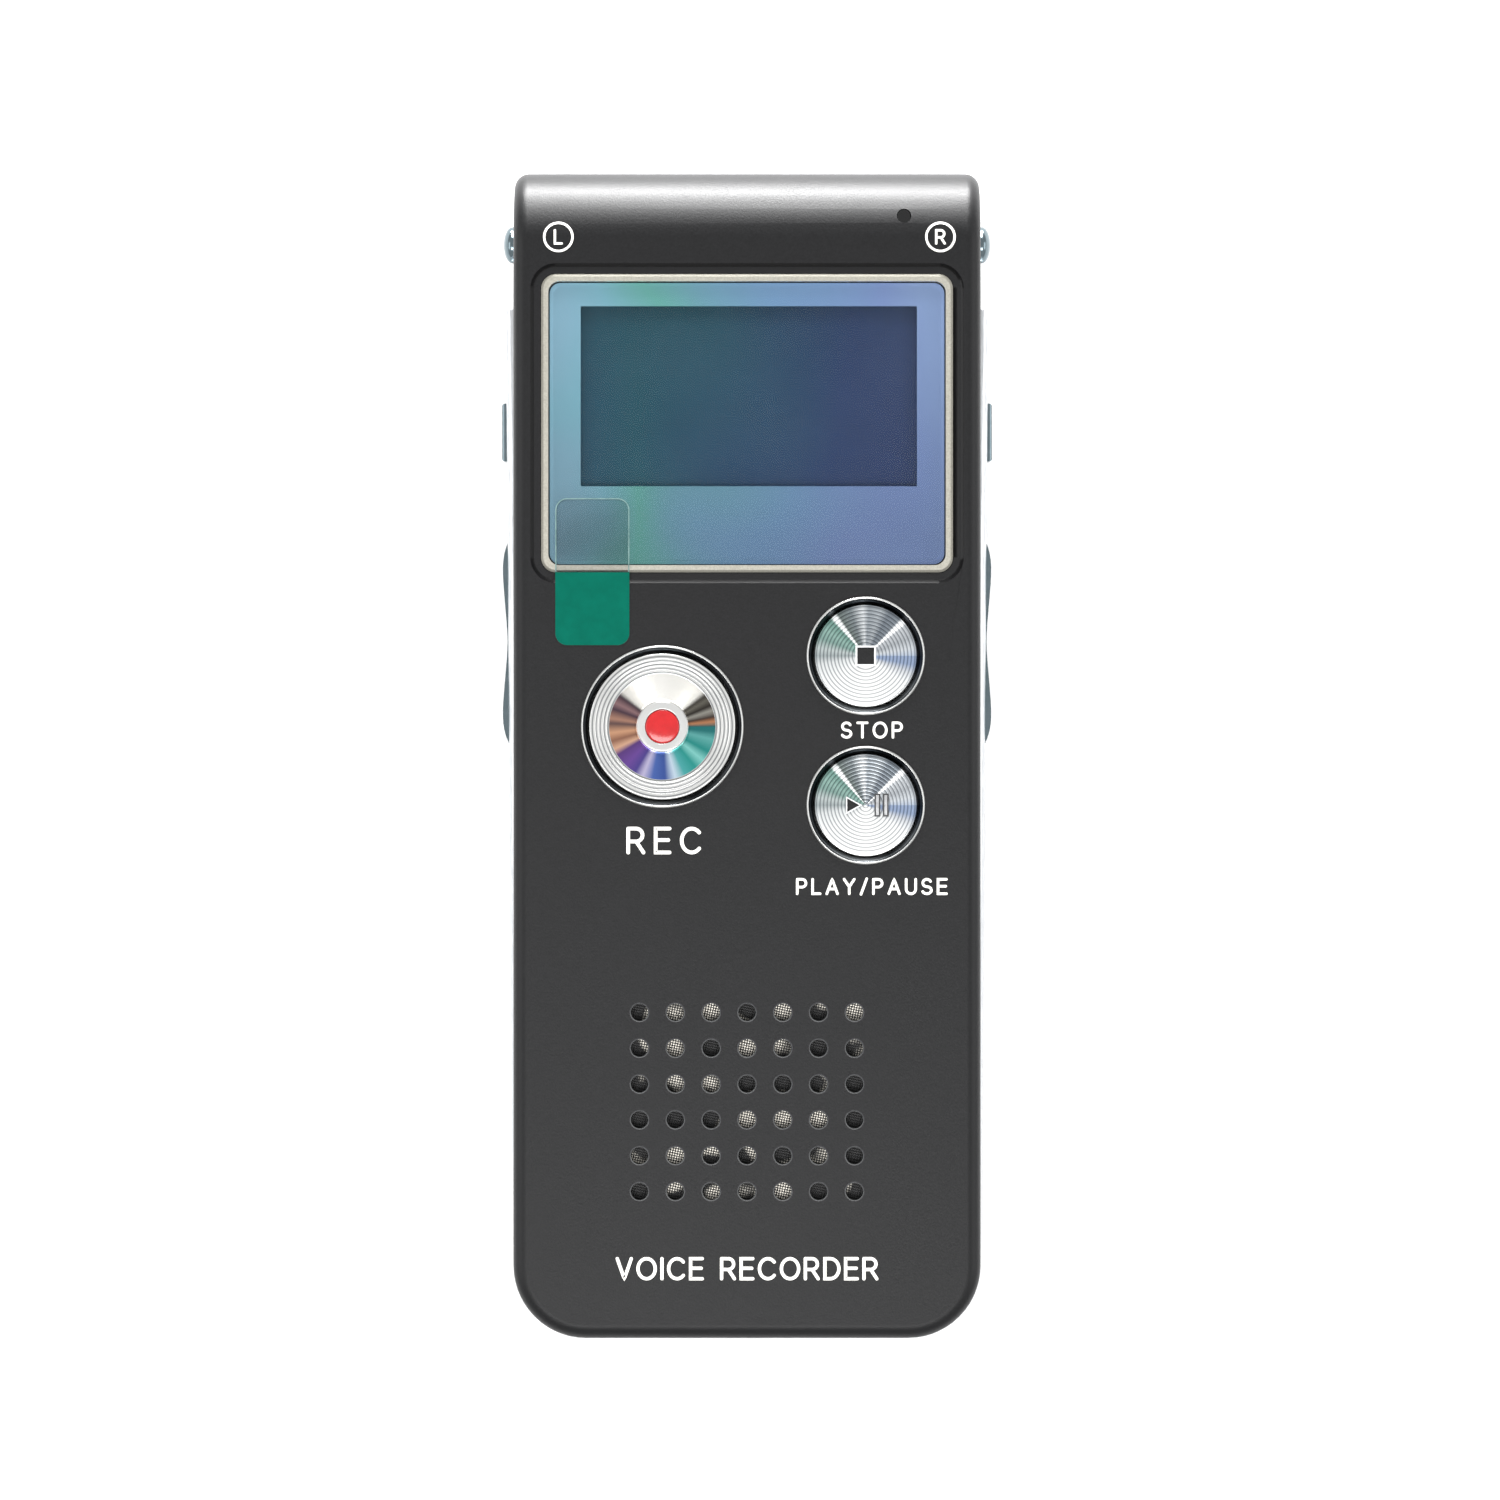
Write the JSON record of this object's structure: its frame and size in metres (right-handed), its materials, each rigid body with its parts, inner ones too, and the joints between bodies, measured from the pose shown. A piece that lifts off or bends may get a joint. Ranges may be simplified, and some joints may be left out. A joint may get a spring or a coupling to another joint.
{
  "type": "handheld voice recorder",
  "caption": "Slim handheld voice recorder with a half-round microphone nose, display window, round record, stop and play keys, speaker holes, side rockers and end sockets.",
  "frame": {"origin": "middle of the back face, under the centre of the case", "axes": "+X to the right seen from the front, +Y towards the microphone nose, +Z out of the front face"},
  "size_m": [0.0414, 0.098, 0.0124],
  "materials": {
    "black_aluminium": "anodised, fine grain",
    "silver_aluminium": "satin",
    "black_steel": "blackened",
    "chrome": "polished",
    "turned_metal": "fine turned rings, bright",
    "red_plastic": "gloss",
    "white_plastic": "matte",
    "black_plastic": "matte",
    "switch_steel": "pressed sheet",
    "plain_steel": "plain",
    "bezel_metal": "satin, bevelled",
    "mirror_window": "mirror tint",
    "clear_film": "clear",
    "green_film": "printed film",
    "light_guide": "frosted",
    "display_glass": "gloss",
    "amber_film": "film",
    "black_rubber": "moulded",
    "green_board": "solder mask",
    "brown_ceramic": "fired",
    "clear_cone": "thin film",
    "black_foam": "open foam",
    "woven_mesh": "fine weave",
    "foil_cell": "foil pouch"
  },
  "bodies": {
    "case": {"amplifier_chip": "black_plastic", "battery": "foil_cell", "battery_connector": "white_plastic", "battery_lead_black": "black_plastic", "battery_lead_red": "red_plastic", "battery_pad": "black_foam", "board_screws": "plain_steel", "capacitors": "brown_ceramic", "case_screws": "black_steel", "crystal": "plain_steel", "display_backlight": "light_guide", "display_connector": "black_plastic", "display_flex": "amber_film", "display_frame": "white_plastic", "display_glass": "display_glass", "earphone_jack": "black_plastic", "front_cover": "black_aluminium", "front_switches": "switch_steel", "key_carrier": "black_plastic", "light_pipe": "light_guide", "main_board": "green_board", "main_chip": "black_plastic", "memory_chip": "black_plastic", "mic_boots": "black_rubber", "mic_cap_left": "chrome", "mic_cap_right": "chrome", "mic_capsules": "plain_steel", "microphone_jack": "black_plastic", "mid_frame": "silver_aluminium", "play_ring": "chrome", "protective_film": "clear_film", "pull_tab_clear": "clear_film", "pull_tab_green": "green_film", "rear_cover": "black_aluminium", "rec_ring": "chrome", "rocker_pins": "plain_steel", "side_switches": "switch_steel", "speaker_basket": "plain_steel", "speaker_cone": "clear_cone", "speaker_gasket": "black_foam", "speaker_magnet": "plain_steel", "speaker_mesh": "woven_mesh", "status_lamp": "white_plastic", "stop_ring": "chrome", "usb_shell": "plain_steel", "usb_tongue": "black_plastic", "window_bezel": "bezel_metal", "window_lens": "mirror_window"},
    "rec_key": {"rec_button": "turned_metal", "rec_red_dot": "red_plastic", "rec_plunger": "white_plastic"},
    "stop_key": {"stop_button": "turned_metal", "stop_plunger": "white_plastic"},
    "play_key": {"play_button": "turned_metal", "play_plunger": "white_plastic"},
    "left_rocker": {"left_rocker": "chrome"},
    "right_rocker": {"right_rocker": "chrome"},
    "left_button": {"left_button": "chrome"},
    "right_button": {"right_button": "chrome"}
  },
  "joints": [
    {"name": "rec_press", "type": "slide", "parent": "case", "child": "rec_key", "axis": [0, 0, -1], "range_m": [0, 0.0004], "stiffness_N_per_m": 2500},
    {"name": "stop_press", "type": "slide", "parent": "case", "child": "stop_key", "axis": [0, 0, -1], "range_m": [0, 0.0004], "stiffness_N_per_m": 2500},
    {"name": "play_press", "type": "slide", "parent": "case", "child": "play_key", "axis": [0, 0, -1], "range_m": [0, 0.0004], "stiffness_N_per_m": 2500},
    {"name": "left_rocker_tilt", "type": "hinge", "parent": "case", "child": "left_rocker", "pos_m": [-0.0177, 0.00945, 0.006], "axis": [0, 0, 1], "range_deg": [-2.5, 2.5], "stiffness_Nm_per_rad": 0.2},
    {"name": "right_rocker_tilt", "type": "hinge", "parent": "case", "child": "right_rocker", "pos_m": [0.0177, 0.00945, 0.006], "axis": [0, 0, 1], "range_deg": [-2.5, 2.5], "stiffness_Nm_per_rad": 0.2},
    {"name": "left_button_press", "type": "slide", "parent": "case", "child": "left_button", "axis": [1, 0, 0], "range_m": [0, 0.00035], "stiffness_N_per_m": 2500},
    {"name": "right_button_press", "type": "slide", "parent": "case", "child": "right_button", "axis": [-1, 0, 0], "range_m": [0, 0.00035], "stiffness_N_per_m": 2500}
  ]
}
